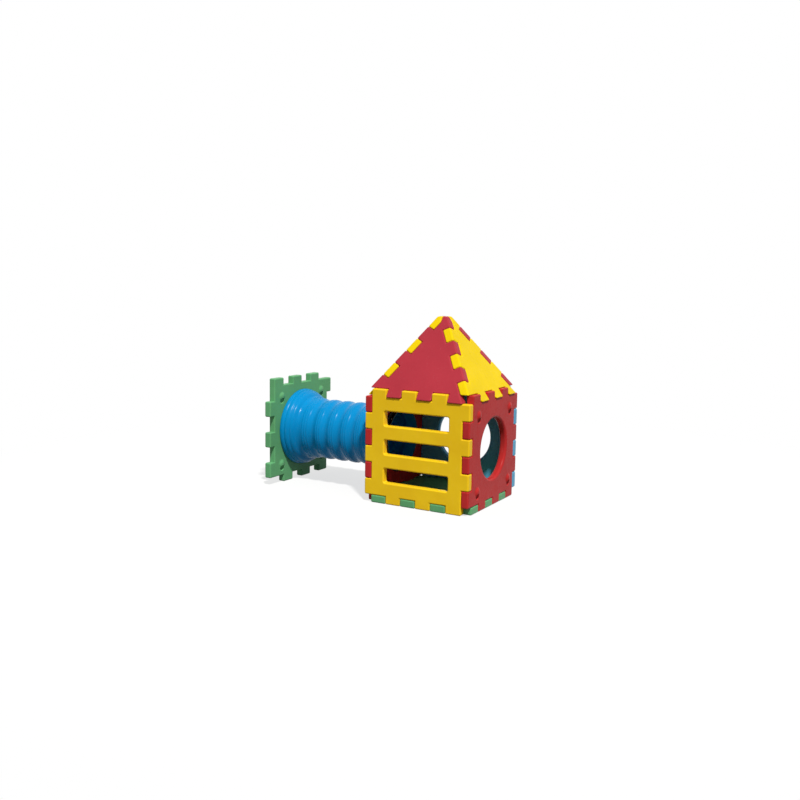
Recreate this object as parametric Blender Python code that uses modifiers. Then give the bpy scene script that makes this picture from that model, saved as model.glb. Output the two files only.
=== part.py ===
"""Play house of interlocking plastic panels, with a pyramid roof and a crawl tunnel.

The front faces -Y, the tunnel leaves the left wall towards -X, and +Z is up.
The origin is the centre of the floor panel's underside, on the ground.
"""
import math

import bmesh
import bpy
from mathutils import Matrix, Vector

# Panel grid, shared by every panel
TAB_PITCH = 0.130
SEGMENTS = 6
PANEL_THICKNESS = 0.060
JOINT_GAP = 0.0003
EDGE_RADIUS = 0.011
EDGE_STEPS = 2
SHARP_TURN = math.radians(30.0)

# Roof: its panels overhang the walls, and their hips' tabs are counted from just above the walls
ROOF_SLOPE = math.radians(55.5)
EAVE_OVERHANG = 0.016
HIP_RISE = 0.048
TOP_HALF_WIDTH = 0.042

# Round crawl hole and its rolled rim
HOLE_RADIUS = 0.238
HOLE_RIM = 0.020
ROUND_SIDES = 32
RIM_STEPS = 2
RIM_END = math.radians(78.0)

# Domed bosses round a crawl hole, and the finger pocket under each
BOSS_SPACING = 0.580
BOSS_RADIUS = 0.043
BOSS_HEIGHT = 0.014
BOSS_ROOT = 0.010
BOSS_SIDES = 10
BOSS_STEPS = 2
POCKET_RADIUS = 0.026
POCKET_DROP = 0.036
POCKET_DEPTH = 0.012
POCKET_WALL = 0.004
POCKET_FLOOR_RADIUS = 0.013
POCKET_SIDES = 6

# Three window slots of the front panel
SLOT_COUNT = 3
SLOT_WIDTH = 0.554
SLOT_HEIGHT = 0.114
SLOT_SPACING = 0.224
SLOT_CORNER = 0.014
SLOT_RIM = 0.012
SLOT_SIDES = 12

# Crawl tunnel between the left wall and the end panel
TUNNEL_LENGTH = 0.930
TUNNEL_RADIUS = 0.2535
TUNNEL_WALL = 0.006
RIB_START = 0.140
RIB_COUNT = 5
RIB_DEPTH = 0.012
RIB_STEPS = 4
BELL_RADIUS = 0.324
BELL_LENGTH = 0.235
BELL_RIB_COUNT = 3
BELL_RIB_PITCH = 0.042
BELL_RIB_HEIGHT = 0.006
BELL_STEPS = 3
BELL_FLANGE = 0.008

# Collar that clamps the tunnel's neck behind each tunnel panel
COLLAR_LENGTH = 0.032
COLLAR_WALL = 0.009
COLLAR_FLANGE = 0.008
COLLAR_FLANGE_RADIUS = 0.282
SCREW_COUNT = 4
SCREW_RADIUS = 0.003
SCREW_HEAD_RADIUS = 0.007
SCREW_HEAD_HEIGHT = 0.004
SCREW_CROWN_RADIUS = 0.005
SCREW_RIM_HEIGHT = 0.0016
SCREW_SIDES = 6

# Colours, linear, and roughness of the moulded plastic
YELLOW = (0.75, 0.47, 0.011)
ROOF_YELLOW = (0.98, 0.73, 0.008)
RED = (0.40, 0.042, 0.040)
ROOF_RED = (0.49, 0.042, 0.062)
GREEN = (0.10, 0.33, 0.13)
LIGHT_BLUE = (0.13, 0.45, 0.61)
TUNNEL_BLUE = (0.002, 0.26, 0.62)
BLACK = (0.02, 0.02, 0.022)
STEEL = (0.55, 0.55, 0.56)
PLASTIC_ROUGHNESS = 0.42
TUNNEL_ROUGHNESS = 0.30
STEEL_ROUGHNESS = 0.35

# Tolerances of the mesh work
WELD = 0.00001
RING_WELD = 0.0001
FLAT_TURN = math.radians(0.5)
SAME_WAY = math.radians(2.5)

# Sizes that follow from the grid
HALF = TAB_PITCH * SEGMENTS / 2
WALL_FACE = HALF + PANEL_THICKNESS
WALL_CENTRE = PANEL_THICKNESS + HALF
WALL_TOP = PANEL_THICKNESS + 2 * HALF
NECK_RADIUS = HOLE_RADIUS - JOINT_GAP
NECK_LENGTH = PANEL_THICKNESS + COLLAR_LENGTH
END_FACE = WALL_FACE + TUNNEL_LENGTH


def clear_scene():
    for old in list(bpy.data.objects):
        bpy.data.objects.remove(old, do_unlink=True)


def new_collection(name):
    group = bpy.data.collections.new(name)
    bpy.context.scene.collection.children.link(group)
    return group


def plastic(name, colour, metallic=0.0, roughness=PLASTIC_ROUGHNESS):
    material = bpy.data.materials.new(name)
    material.use_nodes = True
    shader = material.node_tree.nodes["Principled BSDF"]
    shader.inputs["Base Color"].default_value = (*colour, 1.0)
    shader.inputs["Roughness"].default_value = roughness
    shader.inputs["Metallic"].default_value = metallic
    return material


def add_part(name, mesh, material, place):
    part = bpy.data.objects.new(name, mesh)
    mesh.materials.append(material)
    mesh.shade_smooth()
    mesh.set_sharp_from_angle(angle=SHARP_TURN)
    PARTS.objects.link(part)
    part.matrix_world = place
    return part


def add_cutter(name, mesh, place):
    cutter = bpy.data.objects.new(name, mesh)
    CUTTERS.objects.link(cutter)
    cutter.matrix_world = place
    cutter.hide_render = True
    cutter.display_type = "WIRE"
    return cutter


def boolean(part, tool, operation):
    step = part.modifiers.new(tool.name, "BOOLEAN")
    step.operation = operation
    step.solver = "EXACT"
    step.object = tool


def frame_matrix(right, up, origin):
    """Matrix whose X is `right`, Y is `up` and Z the outward normal."""
    out = Vector(right).cross(Vector(up))
    turn = Matrix((right, up, out)).transposed().to_4x4()
    return Matrix.Translation(origin) @ turn


def to_mesh(name, bm):
    mesh = bpy.data.meshes.new(name)
    bm.to_mesh(mesh)
    bm.free()
    return mesh


def extruded_outline(name, points, depth):
    """A filled flat outline, `depth` thick from Z = 0 upwards, as a bmesh."""
    curve = bpy.data.curves.new(name, "CURVE")
    curve.dimensions = "2D"
    curve.fill_mode = "BOTH"
    curve.extrude = depth / 2
    spline = curve.splines.new("POLY")
    spline.points.add(len(points) - 1)
    for point, (x, y) in zip(spline.points, points):
        point.co = (x, y, 0.0, 1.0)
    spline.use_cyclic_u = True
    guide = bpy.data.objects.new(name, curve)
    PARTS.objects.link(guide)
    solid = bpy.data.meshes.new_from_object(guide.evaluated_get(bpy.context.evaluated_depsgraph_get()))
    bpy.data.objects.remove(guide)
    bm = bmesh.new()
    bm.from_mesh(solid)
    bmesh.ops.remove_doubles(bm, verts=bm.verts, dist=WELD)
    bmesh.ops.dissolve_limit(bm, angle_limit=FLAT_TURN, verts=bm.verts, edges=bm.edges)
    bmesh.ops.recalc_face_normals(bm, faces=bm.faces)
    bmesh.ops.translate(bm, verts=bm.verts, vec=(0, 0, depth / 2))
    return bm


def round_edges(bm, radius, steps):
    """Rounds every outside corner, as a moulded panel has, and leaves the inside ones sharp."""
    bm.normal_update()
    corners = [edge for edge in bm.edges
               if edge.is_manifold and edge.is_convex and edge.calc_face_angle() > SHARP_TURN]
    bmesh.ops.bevel(bm, geom=corners, offset=radius, offset_type="OFFSET", segments=steps,
                    profile=0.5, affect="EDGES", clamp_overlap=True, loop_slide=True, material=-1)


def square_outline():
    """Tabs and notches round a square, clockwise: each side starts with a tab."""
    side = [(-HALF + JOINT_GAP, PANEL_THICKNESS)]
    for segment in range(SEGMENTS - 1):
        seam = -HALF + (segment + 1) * TAB_PITCH
        if segment % 2 == 0:
            side += [(seam - JOINT_GAP / 2, PANEL_THICKNESS), (seam - JOINT_GAP / 2, -JOINT_GAP)]
        else:
            side += [(seam + JOINT_GAP / 2, -JOINT_GAP), (seam + JOINT_GAP / 2, PANEL_THICKNESS)]
    outline = []
    for quarter in range(4):
        turn = Matrix.Rotation(-quarter * math.pi / 2, 2)
        outline += [turn @ Vector((along, HALF + out)) for along, out in side]
    return [tuple(point) for point in reversed(outline)]


def rounded_rectangle(width, height, corner, sides):
    """Points of a rectangle with round corners, anticlockwise."""
    per_corner = sides // 4
    points = []
    for quarter in range(4):
        start = quarter * math.pi / 2
        middle = start + math.pi / 4
        cx = math.copysign(width / 2 - corner, math.cos(middle))
        cy = math.copysign(height / 2 - corner, math.sin(middle))
        for step in range(per_corner):
            angle = start + math.pi / 2 * (step + 0.5) / per_corner
            points.append((cx + corner * math.cos(angle), cy + corner * math.sin(angle)))
    return points


def rimmed_cutter(name, width, height, corner, rim, sides, place):
    """Cuts an opening through a panel, with its rim rolled outwards at both faces."""
    ends = []
    for step in range(RIM_STEPS + 1):
        angle = RIM_END * step / RIM_STEPS
        ends.append((rim * (1 - math.cos(angle)), rim * (1 - math.sin(angle))))
    ends.append((ends[-1][0], -rim))
    sections = [(spread, PANEL_THICKNESS - inset) for spread, inset in reversed(ends)]
    sections += [(spread, inset) for spread, inset in ends]
    bm = bmesh.new()
    rings = []
    for spread, z in sections:
        outline = rounded_rectangle(width + 2 * spread, height + 2 * spread, corner + spread, sides)
        verts = [bm.verts.new((x, y, z)) for x, y in outline]
        rings.append([bm.edges.new((verts[i - 1], verts[i])) for i in range(len(verts))])
    for upper, lower in zip(rings, rings[1:]):
        bmesh.ops.bridge_loops(bm, edges=upper + lower)
    bmesh.ops.holes_fill(bm, edges=rings[0] + rings[-1], sides=0)
    bmesh.ops.recalc_face_normals(bm, faces=bm.faces)
    return add_cutter(name, to_mesh(name, bm), place)


def spun(name, profile, sides):
    """A closed solid turned about Z from (radius, z) points that start and end on the axis."""
    bm = bmesh.new()
    verts = [bm.verts.new((radius, 0, z)) for radius, z in profile]
    edges = [bm.edges.new(pair) for pair in zip(verts, verts[1:])]
    bmesh.ops.spin(bm, geom=verts + edges, cent=(0, 0, 0), axis=(0, 0, 1),
                   angle=2 * math.pi, steps=sides, use_merge=True)
    bmesh.ops.remove_doubles(bm, verts=bm.verts, dist=WELD)
    bmesh.ops.recalc_face_normals(bm, faces=bm.faces)
    return bm


def boss_profile():
    """A shallow dome with a root below the panel's face."""
    sphere = (BOSS_RADIUS ** 2 + BOSS_HEIGHT ** 2) / (2 * BOSS_HEIGHT)
    reach = math.asin(BOSS_RADIUS / sphere)
    profile = [(0.0, BOSS_HEIGHT)]
    for step in range(1, BOSS_STEPS + 1):
        angle = reach * step / BOSS_STEPS
        profile.append((sphere * math.sin(angle), sphere * (math.cos(angle) - 1) + BOSS_HEIGHT))
    return profile + [(BOSS_RADIUS, -BOSS_ROOT), (0.0, -BOSS_ROOT)]


def pocket_profile():
    """A dish whose rim stands above the panel's face."""
    return [(0.0, BOSS_HEIGHT), (POCKET_RADIUS, BOSS_HEIGHT), (POCKET_RADIUS, -POCKET_WALL),
            (POCKET_FLOOR_RADIUS, -POCKET_DEPTH), (0.0, -POCKET_DEPTH)]


def at_corners(name, profile, sides, drop):
    """Four turned solids, one near each corner of a square panel, as one mesh."""
    bm = bmesh.new()
    for sx in (-1, 1):
        for sy in (-1, 1):
            one = to_mesh(name, spun(name, profile, sides))
            spot = (sx * BOSS_SPACING / 2, sy * BOSS_SPACING / 2 - drop, PANEL_THICKNESS)
            one.transform(Matrix.Translation(spot))
            bm.from_mesh(one)
    return to_mesh(name, bm)


def square_panel(name, material, place):
    bm = extruded_outline(name, square_outline(), PANEL_THICKNESS)
    round_edges(bm, EDGE_RADIUS, EDGE_STEPS)
    return add_part(name, to_mesh(name, bm), material, place)


def hole_panel(name, material, place):
    """A square panel with the round crawl hole and four bosses on its outer face."""
    panel = square_panel(name, material, place)
    hole = rimmed_cutter(name + "_hole", 2 * HOLE_RADIUS, 2 * HOLE_RADIUS, HOLE_RADIUS,
                         HOLE_RIM, ROUND_SIDES, place)
    boolean(panel, hole, "DIFFERENCE")
    bosses = add_cutter(name + "_bosses", at_corners("boss", boss_profile(), BOSS_SIDES, 0.0), place)
    boolean(panel, bosses, "UNION")
    pockets = add_cutter(name + "_pockets",
                         at_corners("pocket", pocket_profile(), POCKET_SIDES, POCKET_DROP), place)
    boolean(panel, pockets, "DIFFERENCE")
    return panel


def slot_panel(name, material, place):
    """A square panel with three window slots, one above the other."""
    panel = square_panel(name, material, place)
    for index in range(SLOT_COUNT):
        rise = (index - (SLOT_COUNT - 1) / 2) * SLOT_SPACING
        slot = rimmed_cutter(f"{name}_slot_{index + 1}", SLOT_WIDTH, SLOT_HEIGHT, SLOT_CORNER,
                             SLOT_RIM, SLOT_SIDES, place @ Matrix.Translation((0, rise, 0)))
        boolean(panel, slot, "DIFFERENCE")
    return panel


# Roof geometry. A roof panel lies between an inner and an outer plane that slope up from the
# walls, and a plane's reach is its distance from the house's middle at the walls' notches
ROOF_SIN = math.sin(ROOF_SLOPE)
ROOF_COS = math.cos(ROOF_SLOPE)
ROOF_TAN = math.tan(ROOF_SLOPE)
OUTER_REACH = WALL_FACE + EAVE_OVERHANG
INNER_REACH = OUTER_REACH - PANEL_THICKNESS / ROOF_SIN
BODY_REACH = INNER_REACH - JOINT_GAP / ROOF_SIN
SEAT = WALL_TOP + JOINT_GAP
NOTCH_TOP = SEAT + PANEL_THICKNESS
APEX = WALL_TOP + BODY_REACH * ROOF_TAN
ROOF_TOP = WALL_TOP + (OUTER_REACH - TOP_HALF_WIDTH) * ROOF_TAN


def reach_at(reach, z):
    """Distance from the house's middle, at height z, of a sloping plane."""
    return reach - (z - WALL_TOP) / ROOF_TAN


def roof_outline():
    """A roof panel's body seen from the front: its bottom tabs fill the wall's notches."""
    outline = [(-reach_at(BODY_REACH, NOTCH_TOP), NOTCH_TOP)]
    for segment in range(1, SEGMENTS, 2):
        left = -HALF + segment * TAB_PITCH + JOINT_GAP / 2
        right = left + TAB_PITCH - JOINT_GAP
        outline += [(left, NOTCH_TOP), (left, SEAT)]
        if segment < SEGMENTS - 1:
            outline += [(right, SEAT), (right, NOTCH_TOP)]
    return outline + [(reach_at(BODY_REACH, SEAT), SEAT), (0.0, APEX)]


def facing(bm, normal):
    bm.normal_update()
    return [face for face in bm.faces if face.normal.angle(normal) < SAME_WAY]


def split_faces(bm, normal, point, along):
    """Cuts the faces that look along `normal` where a plane crosses them."""
    faces = facing(bm, normal)
    edges = list({edge for face in faces for edge in face.edges})
    verts = list({vert for face in faces for vert in face.verts})
    bmesh.ops.bisect_plane(bm, geom=faces + edges + verts, dist=WELD, plane_co=point, plane_no=along)


def hip_tabs(bm, side, first):
    """Grows every second strip of a hip face into a tab, flush with the neighbour's outside."""
    up_hip = Vector((-side, 1, ROOF_TAN)).normalized()
    out = Vector((side, ROOF_COS ** 2, ROOF_COS * ROOF_SIN)).normalized()
    normal = Vector((side * ROOF_SIN, 0, ROOF_COS))
    first_seam = WALL_TOP + HIP_RISE
    start = Vector((side * reach_at(INNER_REACH, first_seam), -reach_at(OUTER_REACH, first_seam),
                    first_seam))
    for segment in range(first, SEGMENTS, 2):
        low, high = segment * TAB_PITCH + JOINT_GAP / 2, (segment + 1) * TAB_PITCH - JOINT_GAP / 2
        if segment > 0:
            split_faces(bm, normal, start + up_hip * low, up_hip)
        if segment < SEGMENTS - 1:
            split_faces(bm, normal, start + up_hip * high, up_hip)
    strips = []
    for face in facing(bm, normal):
        segment = (face.calc_center_median() - start).dot(up_hip) // TAB_PITCH
        if segment >= 0 and segment % 2 == first:
            strips.append(face)
    shift = out * ((PANEL_THICKNESS + JOINT_GAP) / out.dot(normal))
    for tab in bmesh.ops.extrude_discrete_faces(bm, faces=strips)["faces"]:
        for vert in tab.verts:
            level = vert.co.z
            vert.co += shift
            if abs(level - NOTCH_TOP) < WELD or abs(level - APEX) < WELD:
                vert.co += up_hip * ((level - vert.co.z) / up_hip.z)


def raise_top(bm):
    """Carries the topmost tab up to the roof's flat top, inside its own quarter."""
    top = next(face for face in bm.faces if all(abs(vert.co.z - APEX) < WELD for vert in face.verts))
    for vert in bmesh.ops.extrude_discrete_faces(bm, faces=[top])["faces"][0].verts:
        x = TOP_HALF_WIDTH if vert.co.x > TOP_HALF_WIDTH else JOINT_GAP / 2
        y = -TOP_HALF_WIDTH if vert.co.y < -TOP_HALF_WIDTH else -JOINT_GAP / 2
        vert.co = (x, y, ROOF_TOP)


def roof_mesh(name):
    """The front roof panel, in the house's own axes."""
    bm = extruded_outline(name, roof_outline(), PANEL_THICKNESS)
    lean = Matrix(((1, 0, 0, 0), (0, 1 / ROOF_TAN, -1 / ROOF_SIN, -reach_at(INNER_REACH, 0.0)),
                   (0, 1, 0, 0), (0, 0, 0, 1)))
    bmesh.ops.transform(bm, matrix=lean, verts=bm.verts)
    hip_tabs(bm, 1, 1)
    hip_tabs(bm, -1, 0)
    raise_top(bm)
    bmesh.ops.recalc_face_normals(bm, faces=bm.faces)
    round_edges(bm, EDGE_RADIUS, EDGE_STEPS)
    return to_mesh(name, bm)


def roof_panel(name, material, quarter):
    turn = Matrix.Rotation(quarter * math.pi / 2, 4, "Z")
    return add_part(name, roof_mesh(name), material, turn)


def bell_radius(distance):
    """Outside radius of the tunnel at a distance from the panel it meets."""
    if distance >= BELL_LENGTH:
        return TUNNEL_RADIUS
    share = 0.5 + 0.5 * math.cos(math.pi * distance / BELL_LENGTH)
    return TUNNEL_RADIUS + (BELL_RADIUS - TUNNEL_RADIUS) * share


def bell_ribs(distance):
    """Fine ridges on the outside of the bell."""
    if distance >= BELL_RIB_COUNT * BELL_RIB_PITCH:
        return 0.0
    return BELL_RIB_HEIGHT * (0.5 - 0.5 * math.cos(2 * math.pi * distance / BELL_RIB_PITCH))


def body_valley(share):
    """Depth of the narrow valley between two broad ribs, share running 0 to 1 across a rib."""
    return RIB_DEPTH * (0.5 + 0.5 * math.cos(2 * math.pi * share)) ** 2


def tunnel_half(outside):
    """(radius, distance from the panel) from a panel's face to the first valley."""
    if outside:
        ribbed = [BELL_RIB_PITCH * step / 2 for step in range(1, 2 * BELL_RIB_COUNT + 1)]
        return [(bell_radius(d) + bell_ribs(d), d) for d in ribbed]
    smooth = [BELL_FLANGE + (RIB_START - BELL_FLANGE) * step / BELL_STEPS for step in range(BELL_STEPS)]
    return [(bell_radius(d) - TUNNEL_WALL, d) for d in smooth]


def tunnel_side(outside):
    """One side of the tunnel's wall from the house (Z = 0) to the end panel."""
    wall = 0.0 if outside else TUNNEL_WALL
    half = tunnel_half(outside)
    middle = []
    span = TUNNEL_LENGTH - 2 * RIB_START
    for step in range(RIB_COUNT * RIB_STEPS + 1):
        z = RIB_START + span * step / (RIB_COUNT * RIB_STEPS)
        radius = bell_radius(min(z, TUNNEL_LENGTH - z)) - body_valley(step / RIB_STEPS)
        middle.append((radius - wall, z))
    far = [(radius, TUNNEL_LENGTH - distance) for radius, distance in reversed(half)]
    return half + middle + far


def tunnel_profile():
    """Closed section of the tunnel's wall, down its outside and up its inside."""
    neck = NECK_RADIUS
    bore = NECK_RADIUS - TUNNEL_WALL
    low, high = JOINT_GAP, TUNNEL_LENGTH - JOINT_GAP
    start, end = -NECK_LENGTH, TUNNEL_LENGTH + NECK_LENGTH
    outside = [(neck, start), (neck, low), (BELL_RADIUS, low)]
    outside += tunnel_side(True)
    outside += [(BELL_RADIUS, high), (neck, high), (neck, end)]
    inside = [(bore, start), (bore, BELL_FLANGE)]
    inside += tunnel_side(False)
    inside += [(bore, TUNNEL_LENGTH - BELL_FLANGE), (bore, end)]
    return list(reversed(outside)) + inside


def collar_profile():
    """Closed section of a collar whose flange lies on Z = 0 and whose sleeve points to +Z."""
    inner = NECK_RADIUS + JOINT_GAP
    sleeve = inner + COLLAR_WALL
    return [(sleeve, COLLAR_LENGTH), (sleeve, COLLAR_FLANGE + JOINT_GAP),
            (COLLAR_FLANGE_RADIUS, COLLAR_FLANGE + JOINT_GAP), (COLLAR_FLANGE_RADIUS, JOINT_GAP),
            (inner, JOINT_GAP), (inner, COLLAR_LENGTH)]


def turned_ring(name, profile, sides, material, place):
    """A ring turned about Z by a Screw modifier, its corners in line with the hole's."""
    mesh = bpy.data.meshes.new(name)
    verts = [(radius, 0.0, z) for radius, z in profile]
    edges = [(i, (i + 1) % len(verts)) for i in range(len(verts))]
    mesh.from_pydata(verts, edges, [])
    ring = bpy.data.objects.new(name, mesh)
    mesh.materials.append(material)
    PARTS.objects.link(ring)
    ring.matrix_world = place @ Matrix.Rotation(math.pi / sides, 4, "Z")
    screw = ring.modifiers.new("turn", "SCREW")
    screw.axis = "Z"
    screw.angle = 2 * math.pi
    screw.steps = sides
    screw.render_steps = sides
    screw.use_merge_vertices = True
    screw.merge_threshold = RING_WELD
    screw.use_smooth_shade = True
    return ring


def screw_profile():
    """Head and shank along Z, with the head's seat at Z = 0 and the shank below it."""
    shank = SCREW_RADIUS
    length = COLLAR_WALL + TUNNEL_WALL + JOINT_GAP
    return [(0.0, SCREW_HEAD_HEIGHT), (SCREW_CROWN_RADIUS, SCREW_HEAD_HEIGHT),
            (SCREW_HEAD_RADIUS, SCREW_RIM_HEIGHT), (SCREW_HEAD_RADIUS, 0.0),
            (shank, 0.0), (shank, -length), (0.0, -length)]


def hole_profile():
    """A plain pin through the collar's sleeve and the tunnel's neck."""
    reach = COLLAR_WALL + TUNNEL_WALL + SCREW_HEAD_HEIGHT
    radius = SCREW_RADIUS + JOINT_GAP
    return [(0.0, SCREW_HEAD_HEIGHT), (radius, SCREW_HEAD_HEIGHT), (radius, -reach), (0.0, -reach)]


def collar_spots(lift):
    """Places round a collar's sleeve, each with its Z pointing outwards."""
    sleeve = NECK_RADIUS + JOINT_GAP + COLLAR_WALL + lift
    height = (COLLAR_FLANGE + COLLAR_LENGTH) / 2
    lay_out = Matrix.Translation((sleeve, 0, height)) @ Matrix.Rotation(math.pi / 2, 4, "Y")
    return [Matrix.Rotation(2 * math.pi * (index + 0.5) / SCREW_COUNT, 4, "Z") @ lay_out
            for index in range(SCREW_COUNT)]


def screw_holes(name):
    """Pins for the screw holes through a collar and the tunnel's neck, as one mesh."""
    bm = bmesh.new()
    for spot in collar_spots(0.0):
        one = to_mesh(name, spun(name, hole_profile(), SCREW_SIDES))
        one.transform(spot)
        bm.from_mesh(one)
    return to_mesh(name, bm)


def tunnel_and_collars(blue, black, steel):
    """The tunnel lies along X, and a screwed collar holds each of its necks."""
    inward = Matrix.Rotation(math.pi / 2, 4, "Y")
    outward = Matrix.Rotation(-math.pi / 2, 4, "Y")
    tunnel = turned_ring("crawl_tunnel", tunnel_profile(), ROUND_SIDES, blue,
                         Matrix.Translation((-WALL_FACE, 0, WALL_CENTRE)) @ outward)
    end_back = -END_FACE - PANEL_THICKNESS
    places = {
        "house": Matrix.Translation((-HALF, 0, WALL_CENTRE)) @ inward,
        "end": Matrix.Translation((end_back, 0, WALL_CENTRE)) @ outward,
    }
    for where, place in places.items():
        holes = add_cutter(where + "_screw_holes", screw_holes("screw_hole"), place)
        collar = turned_ring(where + "_collar", collar_profile(), ROUND_SIDES, black, place)
        boolean(collar, holes, "DIFFERENCE")
        boolean(tunnel, holes, "DIFFERENCE")
        for index, spot in enumerate(collar_spots(JOINT_GAP)):
            name = f"{where}_collar_screw_{index + 1}"
            screw = to_mesh(name, spun(name, screw_profile(), SCREW_SIDES))
            add_part(name, screw, steel, place @ spot)


def build():
    yellow = plastic("panel_yellow", YELLOW)
    red = plastic("panel_red", RED)
    green = plastic("panel_green", GREEN)
    light_blue = plastic("panel_light_blue", LIGHT_BLUE)
    up = (0, 0, 1)
    square_panel("floor_panel", green,
                 frame_matrix((1, 0, 0), (0, -1, 0), (0, 0, PANEL_THICKNESS)))
    slot_panel("front_panel", yellow, frame_matrix((1, 0, 0), up, (0, -HALF, WALL_CENTRE)))
    hole_panel("right_panel", red, frame_matrix((0, 1, 0), up, (HALF, 0, WALL_CENTRE)))
    hole_panel("back_panel", light_blue, frame_matrix((-1, 0, 0), up, (0, HALF, WALL_CENTRE)))
    hole_panel("left_panel", red, frame_matrix((0, -1, 0), up, (-HALF, 0, WALL_CENTRE)))
    hole_panel("end_panel", green,
               frame_matrix((0, 1, 0), up, (-END_FACE - PANEL_THICKNESS, 0, WALL_CENTRE)))
    roof_red = plastic("roof_red", ROOF_RED)
    roof_yellow = plastic("roof_yellow", ROOF_YELLOW)
    roof_panel("roof_front", roof_red, 0)
    roof_panel("roof_right", roof_yellow, 1)
    roof_panel("roof_back", roof_red, 2)
    roof_panel("roof_left", roof_yellow, 3)
    tunnel_and_collars(plastic("tunnel_blue", TUNNEL_BLUE, roughness=TUNNEL_ROUGHNESS),
                       plastic("collar_black", BLACK),
                       plastic("screw_steel", STEEL, metallic=1.0, roughness=STEEL_ROUGHNESS))


clear_scene()
PARTS = new_collection("Play_house")
CUTTERS = new_collection("Cutters")
build()
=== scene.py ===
"""Looks for the panel play house: rounded moulded panels, ribbed tunnel, collars and stage."""
import math

import bmesh
import bpy
from bpy.props import (FloatProperty, FloatVectorProperty, IntProperty, PointerProperty)
from mathutils import Matrix, Vector


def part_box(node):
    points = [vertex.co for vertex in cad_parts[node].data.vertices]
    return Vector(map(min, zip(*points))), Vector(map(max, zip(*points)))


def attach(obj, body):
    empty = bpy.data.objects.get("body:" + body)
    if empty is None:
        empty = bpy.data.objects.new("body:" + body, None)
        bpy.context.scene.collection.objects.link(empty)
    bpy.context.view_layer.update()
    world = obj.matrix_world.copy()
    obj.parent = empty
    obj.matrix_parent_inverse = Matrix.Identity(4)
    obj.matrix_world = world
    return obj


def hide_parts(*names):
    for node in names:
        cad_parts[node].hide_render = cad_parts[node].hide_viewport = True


bl_info = {
    "name": "Panel play house",
    "version": (1, 0, 0),
    "blender": (4, 5, 0),
    "location": "View3D > Sidebar > Play house",
    "description": "Dresses the panel play house with moulded plastic panels and a ribbed tunnel",
    "category": "Add Mesh",
}

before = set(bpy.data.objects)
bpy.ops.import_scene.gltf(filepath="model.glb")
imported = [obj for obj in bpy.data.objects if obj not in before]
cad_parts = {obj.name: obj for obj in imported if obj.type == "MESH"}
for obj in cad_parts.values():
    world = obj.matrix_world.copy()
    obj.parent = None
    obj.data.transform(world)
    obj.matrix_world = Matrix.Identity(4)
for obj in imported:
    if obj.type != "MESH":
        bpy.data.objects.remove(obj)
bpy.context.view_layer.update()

# Sizes read from the frame
FLOOR_LOW, FLOOR_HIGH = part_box("floor_panel")
TUNNEL_LOW, TUNNEL_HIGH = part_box("crawl_tunnel")
COLLAR_LOW, COLLAR_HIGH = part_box("end_collar")
THICKNESS = FLOOR_HIGH.z - FLOOR_LOW.z
WALL_FACE = FLOOR_HIGH.x
HALF = WALL_FACE - THICKNESS
SEGMENTS = 6
PITCH = 2 * HALF / SEGMENTS
WALL_CENTRE = THICKNESS + HALF
WALL_TOP = THICKNESS + 2 * HALF
END_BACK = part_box("end_panel")[0].x
END_FACE = END_BACK + THICKNESS
TUNNEL_LENGTH = -WALL_FACE - END_FACE
COLLAR_LENGTH = COLLAR_HIGH.x - COLLAR_LOW.x
COLLAR_FLANGE_RADIUS = (COLLAR_HIGH.z - COLLAR_LOW.z) / 2
ROOF_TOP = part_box("roof_front")[1].z

# The bells' ridges stand out past their mouths
RIDGE_REACH = 0.003
MOUTH_RADIUS = (TUNNEL_HIGH.z - TUNNEL_LOW.z) / 2 - RIDGE_REACH

# Clearances between two panels, and from a panel to the tunnel's bell and to a collar
SEAM = 0.0009
BELL_GAP = 0.0005
COLLAR_GAP = 0.0004

# Tolerances of the mesh work: angles between faces, and distances at which points count as one
SHARP_TURN = math.radians(30)
FLAT_TURN = math.radians(0.5)
SAME_WAY = math.radians(2.5)
WELD = 0.00001
RING_WELD = 0.000001

# Rims, bosses and pockets
RIM_TURN = math.radians(84)
SLOT_CORNER_STEPS = 6
BOSS_SIDES = 40
BOSS_STEPS = 14
BOSS_FALL = 1.5
BOSS_ROOT = 0.006
POCKET_SIDES = 36
POCKET_STEPS = 8

# The tunnel's wall: how sharp its valleys and full its ridges are, the share of a rib that its
# crest takes to each side, the rounded lip of a bell's mouth, and how far from the panel it ends
VALLEY_POWER = 1.3
RIDGE_POWER = 0.8
CREST_SHARE = 0.25
LIP = 0.004
LIP_STEPS = 4
LIP_END = 0.005

# The neck: its tapered end outside, its end's edge inside, and the cone that opens into the bell
NECK_TAPER = 0.002
NECK_EDGE = 0.001
NECK_EDGE_LENGTH = 0.003
CONE_LENGTH = 0.004
CONE_STEP = 0.003

# Collars and screws. A collar's bore is a step wider than the panel's hole. The rim of a screw's
# head is a share of its rise, and the recess is sized in shares of the head's radius
COLLAR_STEP = SEAM / 3
COLLAR_EDGE = 0.002
SCREW_SIDES = 32
HEAD_STEPS = 6
HEAD_RIM = 0.25
SHANK_RADIUS = 0.0028
SHANK_END = 0.014
TIP_END = 0.015
RECESS_LENGTH = 1.1
RECESS_WIDTH = 0.22

# Each square panel's place, as (right, up, middle of the inner face)
UP = (0, 0, 1)
PANEL_PLACES = {
    "front_panel": ((1, 0, 0), UP, (0, -HALF, WALL_CENTRE)),
    "right_panel": ((0, 1, 0), UP, (HALF, 0, WALL_CENTRE)),
    "back_panel": ((-1, 0, 0), UP, (0, HALF, WALL_CENTRE)),
    "left_panel": ((0, -1, 0), UP, (-HALF, 0, WALL_CENTRE)),
    "end_panel": ((0, 1, 0), UP, (END_BACK, 0, WALL_CENTRE)),
    "floor_panel": ((1, 0, 0), (0, -1, 0), (0, 0, THICKNESS)),
}


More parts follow.
